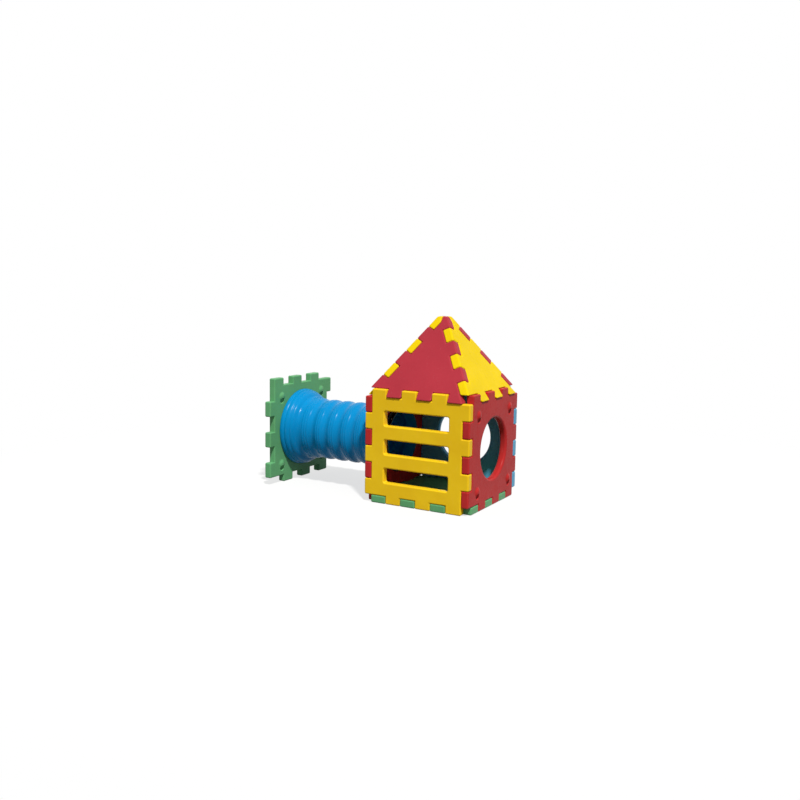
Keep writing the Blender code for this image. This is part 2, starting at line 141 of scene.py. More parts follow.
class PanelSizes(bpy.types.PropertyGroup):
    """Rounding, openings and bosses of the moulded panels."""
    edge_radius: FloatProperty(name="Edge radius", description="Rounding of a panel's outside corners",
                               default=0.0115, unit="LENGTH")
    edge_steps: IntProperty(name="Edge steps", description="Facets across a rounded corner", default=5)
    hole_radius: FloatProperty(name="Hole radius", description="Radius of the round crawl hole",
                               default=0.238, unit="LENGTH")
    hole_rim: FloatProperty(name="Hole rim", description="Radius of the rolled rim of the crawl hole",
                            default=0.020, unit="LENGTH")
    hole_sides: IntProperty(name="Hole sides", description="Facets round the crawl hole", default=112)
    rim_steps: IntProperty(name="Rim steps", description="Facets across a rolled rim", default=7)
    boss_spacing: FloatProperty(name="Boss spacing", description="Distance between two bosses",
                                default=0.580, unit="LENGTH")
    boss_radius: FloatProperty(name="Boss radius", description="Radius of a domed boss",
                               default=0.043, unit="LENGTH")
    boss_height: FloatProperty(name="Boss height", description="How far a boss stands proud",
                               default=0.0138, unit="LENGTH")
    pocket_radius: FloatProperty(name="Pocket radius", description="Radius of the pocket under a boss",
                                 default=0.026, unit="LENGTH")
    pocket_drop: FloatProperty(name="Pocket drop", description="How far the pocket lies below its boss",
                               default=0.036, unit="LENGTH")
    pocket_depth: FloatProperty(name="Pocket depth", description="Depth of the pocket under the face",
                                default=0.014, unit="LENGTH")
    slot_width: FloatProperty(name="Slot width", description="Width of a window slot",
                              default=0.554, unit="LENGTH")
    slot_height: FloatProperty(name="Slot height", description="Height of a window slot",
                               default=0.114, unit="LENGTH")
    slot_spacing: FloatProperty(name="Slot spacing", description="Distance between two window slots",
                                default=0.224, unit="LENGTH")
    slot_corner: FloatProperty(name="Slot corner", description="Corner radius of a window slot",
                               default=0.014, unit="LENGTH")
    slot_rim: FloatProperty(name="Slot rim", description="Rolled edge of a window slot",
                            default=0.012, unit="LENGTH")


class RoofSizes(bpy.types.PropertyGroup):
    """Slope, overhang and hip joints of the roof panels."""
    slope: FloatProperty(name="Slope", description="Slope of a roof panel",
                         default=math.radians(55.5), subtype="ANGLE")
    overhang: FloatProperty(name="Overhang", description="How far the eaves stand out past the walls",
                            default=0.0157, unit="LENGTH")
    hip_rise: FloatProperty(name="Hip rise", description="Height of the first hip seam above the walls",
                            default=0.048, unit="LENGTH")
    top_half: FloatProperty(name="Top half width", description="Half the width of the roof's flat top",
                            default=0.042, unit="LENGTH")


class TunnelSizes(bpy.types.PropertyGroup):
    """Ribs, bells and collars of the crawl tunnel."""
    radius: FloatProperty(name="Radius", description="Outside radius of the ribbed body",
                          default=0.2535, unit="LENGTH")
    wall: FloatProperty(name="Wall", description="Thickness of the moulded wall",
                        default=0.006, unit="LENGTH")
    rib_start: FloatProperty(name="Rib start", description="Distance from a panel to the first valley",
                             default=0.140, unit="LENGTH")
    rib_count: IntProperty(name="Ribs", description="Broad ribs between the two bells", default=5)
    rib_depth: FloatProperty(name="Rib depth", description="Depth of the valley between two ribs",
                             default=0.013, unit="LENGTH")
    crest_ridges: IntProperty(name="Crest ridges", description="Fine ridges on each rib's crest",
                              default=3)
    crest_ridge_height: FloatProperty(name="Crest ridge height",
                                      description="Height of the fine ridges on a crest",
                                      default=0.0022, unit="LENGTH")
    bell_length: FloatProperty(name="Bell length", description="Length of the flared end",
                               default=0.235, unit="LENGTH")
    bell_ribs: IntProperty(name="Bell ribs", description="Fine ridges on a bell", default=3)
    bell_rib_pitch: FloatProperty(name="Bell rib pitch", description="Spacing of the fine ridges",
                                  default=0.042, unit="LENGTH")
    bell_rib_height: FloatProperty(name="Bell rib height", description="Height of the fine ridges",
                                   default=0.006, unit="LENGTH")
    flange: FloatProperty(name="Flange", description="Thickness of the bell's flat end",
                          default=0.008, unit="LENGTH")
    sides: IntProperty(name="Sides", description="Facets round the tunnel", default=144)
    outside_steps: IntProperty(name="Outside steps", description="Facets along the tunnel's outside",
                               default=380)
    inside_steps: IntProperty(name="Inside steps", description="Facets along the tunnel's inside",
                              default=100)
    collar_wall: FloatProperty(name="Collar wall", description="Thickness of a collar's sleeve",
                               default=0.009, unit="LENGTH")
    collar_flange: FloatProperty(name="Collar flange", description="Thickness of a collar's flange",
                                 default=0.008, unit="LENGTH")
    screw_head: FloatProperty(name="Screw head", description="Radius of a collar screw's head",
                              default=0.007, unit="LENGTH")
    screw_rise: FloatProperty(name="Screw rise", description="Height of a collar screw's head",
                              default=0.004, unit="LENGTH")
    screw_count: IntProperty(name="Screws", description="Screws in each collar", default=4)


def colour_property(name, value):
    return FloatVectorProperty(name=name, description=name + ", as a linear base colour",
                               subtype="COLOR", default=value, min=0.0, max=1.0)


class SlotColours(bpy.types.PropertyGroup):
    """Base colour of each record slot."""
    panel_yellow: colour_property("Panel yellow", (1.0, 0.61, 0.012))
    panel_red: colour_property("Panel red", (0.51, 0.028, 0.028))
    panel_green: colour_property("Panel green", (0.128, 0.40, 0.172))
    panel_light_blue: colour_property("Panel light blue", (0.12, 0.42, 0.67))
    roof_red: colour_property("Roof red", (0.43, 0.034, 0.052))
    roof_yellow: colour_property("Roof yellow", (0.85, 0.615, 0.004))
    tunnel_blue: colour_property("Tunnel blue", (0.0005, 0.25, 0.58))
    collar_black: colour_property("Collar black", (0.016, 0.016, 0.018))
    screw_steel: colour_property("Screw steel", (0.55, 0.55, 0.56))


class StageSettings(bpy.types.PropertyGroup):
    """Camera, key lamp, surround and floor."""
    lens: FloatProperty(name="Lens", description="Focal length in millimetres", default=40.5)
    camera_place: FloatVectorProperty(name="Camera", description="Place of the camera",
                                      default=(3.217, -6.356, 1.758), subtype="TRANSLATION")
    yaw: FloatProperty(name="Yaw", description="Turn of the camera to the left of +Y",
                       default=math.radians(31.06), subtype="ANGLE")
    pitch: FloatProperty(name="Pitch", description="Tilt of the camera, down is negative",
                         default=math.radians(-6.28), subtype="ANGLE")
    roll: FloatProperty(name="Roll", description="Roll of the camera",
                        default=math.radians(0.71), subtype="ANGLE")
    shift: FloatVectorProperty(name="Shift", description="Shift of the photograph's crop",
                               size=2, default=(0.028, -0.03))
    key_place: FloatVectorProperty(name="Key place", description="Where the key lamp shines from",
                                   default=(2.1, -2.1, 4.4), subtype="TRANSLATION")
    key_strength: FloatProperty(name="Key", description="Strength of the key lamp", default=3.5)
    fill_strength: FloatProperty(name="Fill", description="Strength of the soft surround", default=0.30)
    floor_bounce: FloatProperty(name="Floor bounce", description="Share of light the floor throws back",
                                default=0.20, subtype="FACTOR", min=0.0, max=1.0)
    floor_tone: FloatProperty(name="Floor tone", description="How pale the lit floor is seen",
                              default=0.92, subtype="FACTOR", min=0.0, max=1.0)
    floor_white: FloatProperty(name="Floor white", description="How white the floor is seen nearby",
                               default=0.70, subtype="FACTOR", min=0.0, max=1.0)


# Roughness and specular level of each plastic
PLASTICS = {
    "panel_yellow": (0.30, 0.08),
    "panel_red": (0.26, 0.045),
    "panel_green": (0.30, 0.08),
    "panel_light_blue": (0.32, 0.10),
    "roof_red": (0.30, 0.08),
    "roof_yellow": (0.28, 0.03),
    "tunnel_blue": (0.20, 0.06),
    "collar_black": (0.50, 0.25),
}

# Scale and detail of each noise pattern, and the range that most of a pattern fills
PATTERNS = {
    "clouds": (3.2, 4.0),
    "haze": (11.0, 5.0),
    "sag": (15.0, 2.0),
    "scuffs": (95.0, 4.0),
    "peel": (210.0, 2.0),
    "spots": (420.0, 3.0),
    "grain": (900.0, 1.0),
}
MOST_OF_NOISE = (0.3, 0.7)

# Pigment: its deep and pale clouds, and the share of the pale ones
DEEP = 0.88
PALE = 1.10
PALE_LIFT = 0.003
PALE_SHARE = (0.15, 0.75)

# Scuffs: long and slanted, only where their pattern is high, and a little paler
SCUFF_STRETCH = (1.0, 1.0, 0.16)
SCUFF_TURN = (0.4, 0.7, 0.2)
SCUFF_RANGE = (0.62, 0.78)
SCUFF_SHARE = (0.0, 0.28)
SCUFF_LIFT = 0.10

# Gloss: how far a plastic's roughness drifts, and the zinc's roughness and darker spots
ROUGHNESS_DRIFT = (-0.05, 0.09)
ZINC_ROUGHNESS = (0.25, 0.45)
ZINC_SHADE = 0.7

# Strength and distance of each bump, and the grain's share of the skin
SKIN_BUMP = (0.30, 0.0003)
SAG_BUMP = (0.60, 0.0022)
GRAIN_SHARE = 0.35


def new_material(name):
    """A material, its node tree, its shader, and the socket with the object's own coordinates."""
    material = bpy.data.materials.new(name)
    material.use_nodes = True
    tree = material.node_tree
    coords = tree.nodes.new("ShaderNodeTexCoord").outputs["Object"]
    return material, tree, tree.nodes["Principled BSDF"], coords


def noise(tree, place, pattern):
    """A named pattern, read at the place that a vector socket gives."""
    scale, detail = PATTERNS[pattern]
    node = tree.nodes.new("ShaderNodeTexNoise")
    node.inputs["Scale"].default_value = scale
    node.inputs["Detail"].default_value = detail
    tree.links.new(place, node.inputs["Vector"])
    return node.outputs["Fac"]


def spread(tree, pattern, given, wanted):
    """Maps a pattern from the given range to the wanted one."""
    node = tree.nodes.new("ShaderNodeMapRange")
    node.inputs["From Min"].default_value, node.inputs["From Max"].default_value = given
    node.inputs["To Min"].default_value, node.inputs["To Max"].default_value = wanted
    tree.links.new(pattern, node.inputs["Value"])
    return node.outputs["Result"]


def colour_mix(tree, share, first, second):
    """Goes by its share from the first colour, which may be a socket, to the second."""
    node = tree.nodes.new("ShaderNodeMix")
    node.data_type = "RGBA"
    tree.links.new(share, node.inputs["Factor"])
    if isinstance(first, bpy.types.NodeSocket):
        tree.links.new(first, node.inputs["A"])
    else:
        node.inputs["A"].default_value = (*first, 1)
    node.inputs["B"].default_value = (*second, 1)
    return node.outputs["Result"]


def bump(tree, height, strength, distance):
    node = tree.nodes.new("ShaderNodeBump")
    node.inputs["Strength"].default_value = strength
    node.inputs["Distance"].default_value = distance
    tree.links.new(height, node.inputs["Height"])
    return node


def scuffed_pigment(tree, coords, colour):
    """Cloudy colour with paler scuffs."""
    deep = [channel * DEEP for channel in colour]
    pale = [min(1.0, channel * PALE + PALE_LIFT) for channel in colour]
    clouds = spread(tree, noise(tree, coords, "clouds"), MOST_OF_NOISE, PALE_SHARE)
    stretch = tree.nodes.new("ShaderNodeMapping")
    stretch.inputs["Scale"].default_value = SCUFF_STRETCH
    stretch.inputs["Rotation"].default_value = SCUFF_TURN
    tree.links.new(coords, stretch.inputs["Vector"])
    scuffs = noise(tree, stretch.outputs["Vector"], "scuffs")
    worn = [channel + (1 - channel) * SCUFF_LIFT for channel in colour]
    return colour_mix(tree, spread(tree, scuffs, SCUFF_RANGE, SCUFF_SHARE),
                      colour_mix(tree, clouds, deep, pale), worn)


def moulded_skin(tree, coords):
    """Normals of a grained orange peel, on the wide waves of a wall that sagged as it cooled."""
    heights = tree.nodes.new("ShaderNodeMix")
    heights.inputs["Factor"].default_value = GRAIN_SHARE
    tree.links.new(noise(tree, coords, "peel"), heights.inputs["A"])
    tree.links.new(noise(tree, coords, "grain"), heights.inputs["B"])
    skin = bump(tree, heights.outputs["Result"], *SKIN_BUMP)
    sag = bump(tree, noise(tree, coords, "sag"), *SAG_BUMP)
    tree.links.new(skin.outputs["Normal"], sag.inputs["Normal"])
    return sag.outputs["Normal"]


def moulded_plastic(name, colour, roughness, specular):
    """Polyethylene from a mould, with a hazy gloss."""
    material, tree, shader, coords = new_material(name)
    shader.inputs["Specular IOR Level"].default_value = specular
    tree.links.new(scuffed_pigment(tree, coords, colour), shader.inputs["Base Color"])
    drift = [roughness + step for step in ROUGHNESS_DRIFT]
    haze = spread(tree, noise(tree, coords, "haze"), MOST_OF_NOISE, drift)
    tree.links.new(haze, shader.inputs["Roughness"])
    tree.links.new(moulded_skin(tree, coords), shader.inputs["Normal"])
    return material


def zinc_steel(name, colour):
    """Zinc plate with spots in its tint and gloss."""
    material, tree, shader, coords = new_material(name)
    shader.inputs["Metallic"].default_value = 1.0
    spots = noise(tree, coords, "spots")
    dark = [channel * ZINC_SHADE for channel in colour]
    tree.links.new(colour_mix(tree, spots, colour, dark), shader.inputs["Base Color"])
    gloss = spread(tree, spots, MOST_OF_NOISE, ZINC_ROUGHNESS)
    tree.links.new(gloss, shader.inputs["Roughness"])
    return material


def finish_of(slot):
    """The material of a record slot, made once. The frame's own plain one has the slot's name."""
    name = slot + "_finish"
    if name in bpy.data.materials:
        return bpy.data.materials[name]
    colour = tuple(getattr(bpy.context.scene.slot_colours, slot))
    if slot == "screw_steel":
        return zinc_steel(name, colour)
    return moulded_plastic(name, colour, *PLASTICS[slot])


def new_object(name, bm):
    mesh = bpy.data.meshes.new(name)
    bm.to_mesh(mesh)
    bm.free()
    piece = bpy.data.objects.new(name, mesh)
    bpy.context.scene.collection.objects.link(piece)
    return piece


def apply_modifiers(piece):
    """Replaces the mesh by its evaluated form and drops the modifiers."""
    graph = bpy.context.evaluated_depsgraph_get()
    graph.update()
    mesh = bpy.data.meshes.new_from_object(piece.evaluated_get(graph))
    piece.modifiers.clear()
    piece.data = mesh


def cut(piece, tool, operation="DIFFERENCE"):
    step = piece.modifiers.new(operation.lower(), "BOOLEAN")
    step.operation = operation
    step.solver = "EXACT"
    step.object = tool
    apply_modifiers(piece)
    bpy.data.objects.remove(tool)


def settle(piece, node, slot):
    """Smooth shading, finish, and the CAD node that the piece stands for."""
    piece.data.shade_smooth()
    piece.data.set_sharp_from_angle(angle=SHARP_TURN)
    weigh = piece.modifiers.new("even_shading", "WEIGHTED_NORMAL")
    weigh.keep_sharp = True
    apply_modifiers(piece)
    piece.data.materials.clear()
    piece.data.materials.append(finish_of(slot))
    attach(piece, "root")
    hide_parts(node)


def panel_frame(right, up, origin):
    """Matrix with X to the right, Y up and Z out of the panel."""
    out = Vector(right).cross(Vector(up))
    turn = Matrix((right, up, out)).transposed().to_4x4()
    return Matrix.Translation(origin) @ turn


def add_tabs(bm, edges, outward, length):
    """Extrudes the given boundary edges of a flat plate into tabs."""
    for edge in edges:
        grown = bmesh.ops.extrude_edge_only(bm, edges=[edge])
        ends = [item for item in grown["geom"] if isinstance(item, bmesh.types.BMVert)]
        bmesh.ops.translate(bm, verts=ends, vec=outward * length)


def edge_loop_face(bm, points):
    """One flat face through the given corner and seam points, and its edges in order."""
    verts = [bm.verts.new((x, y, 0)) for x, y in points]
    edges = [bm.edges.new(pair) for pair in zip(verts, verts[1:] + verts[:1])]
    bmesh.ops.edgeloop_fill(bm, edges=edges)
    return edges


def thicken(bm, depth):
    """Turns a flat plate into a closed slab with its outer face at Z = depth."""
    faces = bm.faces[:]
    grown = bmesh.ops.extrude_face_region(bm, geom=faces, use_keep_orig=True)
    lifted = [item for item in grown["geom"] if isinstance(item, bmesh.types.BMVert)]
    bmesh.ops.translate(bm, verts=lifted, vec=(0, 0, depth))
    bmesh.ops.remove_doubles(bm, verts=bm.verts, dist=WELD)
    bmesh.ops.dissolve_limit(bm, angle_limit=FLAT_TURN, verts=bm.verts, edges=bm.edges)
    bmesh.ops.recalc_face_normals(bm, faces=bm.faces)


def round_edges(bm):
    """Rounds the outside corners; the inside corners of the notches stay sharp."""
    sizes = bpy.context.scene.panel_sizes
    bm.normal_update()
    corners = [edge for edge in bm.edges
               if edge.is_manifold and edge.is_convex and edge.calc_face_angle() > SHARP_TURN]
    bmesh.ops.bevel(bm, geom=corners, offset=sizes.edge_radius, offset_type="OFFSET",
                    segments=sizes.edge_steps, profile=0.5, affect="EDGES", clamp_overlap=True,
                    loop_slide=True, material=-1)


def square_plate():
    """A square slab whose four sides each start, clockwise, with a tab."""
    bm = bmesh.new()
    body = HALF - SEAM / 2
    side = [(-body, body)]
    for segment in range(1, SEGMENTS):
        lean = -SEAM / 2 if segment % 2 else SEAM / 2
        side.append((-HALF + segment * PITCH + lean, body))
    points = []
    for quarter in range(4):
        turn = Matrix.Rotation(-quarter * math.pi / 2, 2)
        points += [tuple(turn @ Vector(point)) for point in side]
    edges = edge_loop_face(bm, points)
    for quarter in range(4):
        turn = Matrix.Rotation(-quarter * math.pi / 2, 3, "Z")
        tabs = edges[quarter * SEGMENTS:(quarter + 1) * SEGMENTS:2]
        add_tabs(bm, tabs, turn @ Vector((0, 1, 0)), THICKNESS + SEAM / 2)
    thicken(bm, THICKNESS)
    round_edges(bm)
    return bm


def corner_arc(centre, radius, start, steps):
    """Points of a quarter circle, both ends off the tangents by half a step."""
    points = []
    for step in range(steps):
        angle = start + math.pi / 2 * (step + 0.5) / steps
        points.append((centre[0] + radius * math.cos(angle), centre[1] + radius * math.sin(angle)))
    return points


def rounded_outline(width, height, corner, steps):
    half_x, half_y = width / 2 - corner, height / 2 - corner
    centres = [(half_x, half_y), (-half_x, half_y), (-half_x, -half_y), (half_x, -half_y)]
    points = []
    for quarter, centre in enumerate(centres):
        points += corner_arc(centre, corner, quarter * math.pi / 2, steps)
    return points


def opening_tool(name, width, height, corner, rim, corner_steps, place):
    """A cutter whose sides flare along the rolled rims at both faces of a panel."""
    rim_steps = bpy.context.scene.panel_sizes.rim_steps
    flare = []
    for step in range(rim_steps + 1):
        angle = RIM_TURN * step / rim_steps
        flare.append((rim * (1 - math.cos(angle)), rim * (1 - math.sin(angle))))
    flare.append((flare[-1][0], -rim))
    sections = [(wider, THICKNESS - inset) for wider, inset in reversed(flare)]
    sections += [(wider, inset) for wider, inset in flare]
    bm = bmesh.new()
    rings = []
    for wider, z in sections:
        points = rounded_outline(width + 2 * wider, height + 2 * wider, corner + wider, corner_steps)
        verts = [bm.verts.new((x, y, z)) for x, y in points]
        rings.append([bm.edges.new(pair) for pair in zip(verts, verts[1:] + verts[:1])])
    for upper, lower in zip(rings, rings[1:]):
        bmesh.ops.bridge_loops(bm, edges=upper + lower)
    bmesh.ops.holes_fill(bm, edges=rings[0] + rings[-1], sides=0)
    bmesh.ops.recalc_face_normals(bm, faces=bm.faces)
    bmesh.ops.transform(bm, matrix=place, verts=bm.verts)
    return new_object(name, bm)


def spin_about_z(bm, verts, edges, sides):
    bmesh.ops.spin(bm, geom=verts + edges, cent=(0, 0, 0), axis=(0, 0, 1), angle=2 * math.pi,
                   steps=sides, use_merge=True)


def spun(bm, profile, sides, place):
    """Adds a solid turned about Z from (radius, z) points that start and end on the axis."""
    verts = [bm.verts.new((radius, 0, z)) for radius, z in profile]
    edges = [bm.edges.new(pair) for pair in zip(verts, verts[1:])]
    spin_about_z(bm, verts, edges, sides)
    made = {vert for face in bm.faces for vert in face.verts if not face.tag}
    for face in bm.faces:
        face.tag = True
    bmesh.ops.transform(bm, matrix=place, verts=list(made))


def boss_profile(sizes):
    """A dome that swells out of the face through a small fillet."""
    radius, height = sizes.boss_radius, sizes.boss_height
    profile = []
    for step in range(BOSS_STEPS + 1):
        share = step / BOSS_STEPS
        fall = 0.5 + 0.5 * math.cos(math.pi * share ** BOSS_FALL)
        profile.append((radius * share, height * fall))
    return profile + [(radius, -BOSS_ROOT), (0.0, -BOSS_ROOT)]


def pocket_profile(sizes):
    """A dish with a rounded floor, cut from well above the boss."""
    above = 2 * sizes.boss_height
    profile = [(0.0, above), (sizes.pocket_radius, above)]
    for step in range(POCKET_STEPS):
        angle = math.pi / 2 * step / POCKET_STEPS
        profile.append((sizes.pocket_radius * math.cos(angle), -sizes.pocket_depth * math.sin(angle)))
    return profile + [(0.0, -sizes.pocket_depth)]


def at_boss_corners(name, profile, sides, drop, place):
    """The same turned solid near each corner of a panel."""
    spacing = bpy.context.scene.panel_sizes.boss_spacing
    bm = bmesh.new()
    for across in (-0.5, 0.5):
        for along in (-0.5, 0.5):
            spot = (across * spacing, along * spacing - drop, THICKNESS)
            spun(bm, profile, sides, Matrix.Translation(spot))
    bmesh.ops.remove_doubles(bm, verts=bm.verts, dist=WELD)
    bmesh.ops.recalc_face_normals(bm, faces=bm.faces)
    bmesh.ops.transform(bm, matrix=place, verts=bm.verts)
    return new_object(name, bm)


def make_square_panel(node):
    """A square panel in its place, still without openings."""
    bm = square_plate()
    bmesh.ops.transform(bm, matrix=panel_frame(*PANEL_PLACES[node]), verts=bm.verts)
    return new_object(node.replace("_panel", "_moulding"), bm)


class PLAYHOUSE_OT_hole_panels(bpy.types.Operator):
    """Walls and end panel with a round crawl hole and four bosses"""
    bl_idname = "playhouse.hole_panels"
    bl_label = "Hole panels"

    def execute(self, context):
        sizes = context.scene.panel_sizes
        width = 2 * sizes.hole_radius
        slots = {"right_panel": "panel_red", "left_panel": "panel_red",
                 "back_panel": "panel_light_blue", "end_panel": "panel_green"}
        for node, slot in slots.items():
            panel = make_square_panel(node)
            place = panel_frame(*PANEL_PLACES[node])
            cut(panel, opening_tool("hole", width, width, sizes.hole_radius, sizes.hole_rim,
                                    sizes.hole_sides // 4, place))
            cut(panel, at_boss_corners("bosses", boss_profile(sizes), BOSS_SIDES, 0.0, place),
                "UNION")
            cut(panel, at_boss_corners("pockets", pocket_profile(sizes), POCKET_SIDES,
                                       sizes.pocket_drop, place))
            settle(panel, node, slot)
        return {"FINISHED"}


class PLAYHOUSE_OT_front_panel(bpy.types.Operator):
    """Front wall with its window slots"""
    bl_idname = "playhouse.front_panel"
    bl_label = "Front panel"

    def execute(self, context):
        sizes = context.scene.panel_sizes
        panel = make_square_panel("front_panel")
        wall = panel_frame(*PANEL_PLACES["front_panel"])
        for level in (-1, 0, 1):
            place = wall @ Matrix.Translation((0, level * sizes.slot_spacing, 0))
            cut(panel, opening_tool("slot", sizes.slot_width, sizes.slot_height, sizes.slot_corner,
                                    sizes.slot_rim, SLOT_CORNER_STEPS, place))
        settle(panel, "front_panel", "panel_yellow")
        return {"FINISHED"}


class PLAYHOUSE_OT_floor_panel(bpy.types.Operator):
    """Floor panel whose tabs fill the walls' bottom notches"""
    bl_idname = "playhouse.floor_panel"
    bl_label = "Floor panel"

    def execute(self, context):
        settle(make_square_panel("floor_panel"), "floor_panel", "panel_green")
        return {"FINISHED"}


class RoofShape:
    """The sloping planes that a roof panel lies between. A plane's reach is its distance from the
    house's middle at the walls' notches."""

    def __init__(self, sizes):
        self.sin, self.cos = math.sin(sizes.slope), math.cos(sizes.slope)
        self.tan = math.tan(sizes.slope)
        self.outer = WALL_FACE + sizes.overhang
        self.inner = self.outer - THICKNESS / self.sin
        self.body = self.inner - SEAM / self.sin
        self.seat = WALL_TOP + SEAM / 2
        self.notch_top = WALL_TOP + THICKNESS + SEAM
        self.apex = WALL_TOP + self.body * self.tan
        self.first_seam = WALL_TOP + sizes.hip_rise
        self.top_half = sizes.top_half

    def reach(self, plane, z):
        return plane - (z - WALL_TOP) / self.tan

    def outline(self):
        """The body seen from the front: its bottom tabs fill the wall's notches."""
        points = [(-self.reach(self.body, self.notch_top), self.notch_top)]
        for segment in range(1, SEGMENTS, 2):
            left = -HALF + segment * PITCH + SEAM / 2
            right = left + PITCH - SEAM
            points += [(left, self.notch_top), (left, self.seat)]
            if segment < SEGMENTS - 1:
                points += [(right, self.seat), (right, self.notch_top)]
        return points + [(self.reach(self.body, self.seat), self.seat), (0.0, self.apex)]


def facing(bm, normal):
    """The faces that look the same way as `normal`."""
    bm.normal_update()
    return [face for face in bm.faces if face.normal.angle(normal) < SAME_WAY]


def split_faces(bm, normal, point, along):
    """Cuts the faces that look along `normal` where a plane crosses them."""
    faces = facing(bm, normal)
    edges = list({edge for face in faces for edge in face.edges})
    verts = list({vert for face in faces for vert in face.verts})
    bmesh.ops.bisect_plane(bm, geom=faces + edges + verts, dist=WELD, plane_co=point, plane_no=along)


def hip_tabs(bm, shape, side, first):
    """Grows every second strip of a hip face into a tab, flush with the neighbour's outside."""
    up_hip = Vector((-side, 1, shape.tan)).normalized()
    out = Vector((side, shape.cos ** 2, shape.cos * shape.sin)).normalized()
    normal = Vector((side * shape.sin, 0, shape.cos))
    start = Vector((side * shape.reach(shape.inner, shape.first_seam),
                    -shape.reach(shape.outer, shape.first_seam), shape.first_seam))
    for segment in range(first, SEGMENTS, 2):
        if segment > 0:
            split_faces(bm, normal, start + up_hip * (segment * PITCH + SEAM / 2), up_hip)
        if segment < SEGMENTS - 1:
            split_faces(bm, normal, start + up_hip * ((segment + 1) * PITCH - SEAM / 2), up_hip)
    strips = []
    for face in facing(bm, normal):
        segment = (face.calc_center_median() - start).dot(up_hip) // PITCH
        if segment >= 0 and segment % 2 == first:
            strips.append(face)
    shift = out * ((THICKNESS + SEAM) / out.dot(normal))
    for tab in bmesh.ops.extrude_discrete_faces(bm, faces=strips)["faces"]:
        for vert in tab.verts:
            level = vert.co.z
            vert.co += shift
            if abs(level - shape.notch_top) < WELD or abs(level - shape.apex) < WELD:
                vert.co += up_hip * ((level - vert.co.z) / up_hip.z)


def raise_top(bm, shape):
    """Carries the topmost tab up to the roof's flat top, inside its own quarter."""
    top = next(face for face in bm.faces
               if all(abs(vert.co.z - shape.apex) < WELD for vert in face.verts))
    for vert in bmesh.ops.extrude_discrete_faces(bm, faces=[top])["faces"][0].verts:
        x = shape.top_half if vert.co.x > shape.top_half else SEAM / 2
        y = -shape.top_half if vert.co.y < -shape.top_half else -SEAM / 2
        vert.co = (x, y, ROOF_TOP)


def roof_plate():
    """The front roof panel in place: a level-based slab leaned back, then its hip tabs."""
    shape = RoofShape(bpy.context.scene.roof_sizes)
    bm = bmesh.new()
    edge_loop_face(bm, shape.outline())
    thicken(bm, THICKNESS)
    lean = Matrix(((1, 0, 0, 0), (0, 1 / shape.tan, -1 / shape.sin, -shape.reach(shape.inner, 0.0)),
                   (0, 1, 0, 0), (0, 0, 0, 1)))
    bmesh.ops.transform(bm, matrix=lean, verts=bm.verts)
    hip_tabs(bm, shape, 1, 1)
    hip_tabs(bm, shape, -1, 0)
    raise_top(bm, shape)
    bmesh.ops.recalc_face_normals(bm, faces=bm.faces)
    round_edges(bm)
    return bm


class PLAYHOUSE_OT_roof_panels(bpy.types.Operator):
    """Four roof panels with finger joints along the hips and in the walls' notches"""
    bl_idname = "playhouse.roof_panels"
    bl_label = "Roof panels"

    def execute(self, context):
        roofs = {"roof_front": "roof_red", "roof_right": "roof_yellow",
                 "roof_back": "roof_red", "roof_left": "roof_yellow"}
        for quarter, (node, slot) in enumerate(roofs.items()):
            bm = roof_plate()
            turn = Matrix.Rotation(quarter * math.pi / 2, 4, "Z")
            bmesh.ops.transform(bm, matrix=turn, verts=bm.verts)
            settle(new_object(node + "_moulding", bm), node, slot)
        return {"FINISHED"}


def bell_radius(sizes, distance):
    """Outside radius at a distance from the panel, ridges left out."""
    if distance >= sizes.bell_length:
        return sizes.radius
    share = 0.5 + 0.5 * math.cos(math.pi * distance / sizes.bell_length)
    return sizes.radius + (MOUTH_RADIUS - sizes.radius) * share


def tunnel_radius(sizes, z, outside):
    """Radius of one side of the wall at z along the tunnel. `share` counts the broad ribs: it is
    whole in a valley and half way between on a crest."""
    distance = min(z, TUNNEL_LENGTH - z)
    pitch = (TUNNEL_LENGTH - 2 * sizes.rib_start) / sizes.rib_count
    share = max((distance - sizes.rib_start) / pitch, -0.5)
    radius = bell_radius(sizes, distance)
    radius -= sizes.rib_depth * (0.5 + 0.5 * math.cos(2 * math.pi * share)) ** VALLEY_POWER
    if not outside:
        return radius - sizes.wall
    if distance < sizes.bell_ribs * sizes.bell_rib_pitch:
        wave = abs(math.sin(math.pi * distance / sizes.bell_rib_pitch))
        radius += sizes.bell_rib_height * wave ** RIDGE_POWER
    off_crest = abs(share % 1 - 0.5)
    if share > 0 and off_crest < CREST_SHARE:
        turns = sizes.crest_ridges * (off_crest - CREST_SHARE) / (2 * CREST_SHARE)
        radius += sizes.crest_ridge_height * math.sin(math.pi * turns) ** 2
    return radius


def wall_side(sizes, end, start, steps, outside):
    """One side of the tunnel's wall: its end, the stretch from `start` on, and the end mirrored."""
    points = list(end)
    for step in range(steps + 1):
        z = start + (TUNNEL_LENGTH - 2 * start) * step / steps
        points.append((tunnel_radius(sizes, z, outside), z))
    return points + [(radius, TUNNEL_LENGTH - z) for radius, z in reversed(end)]


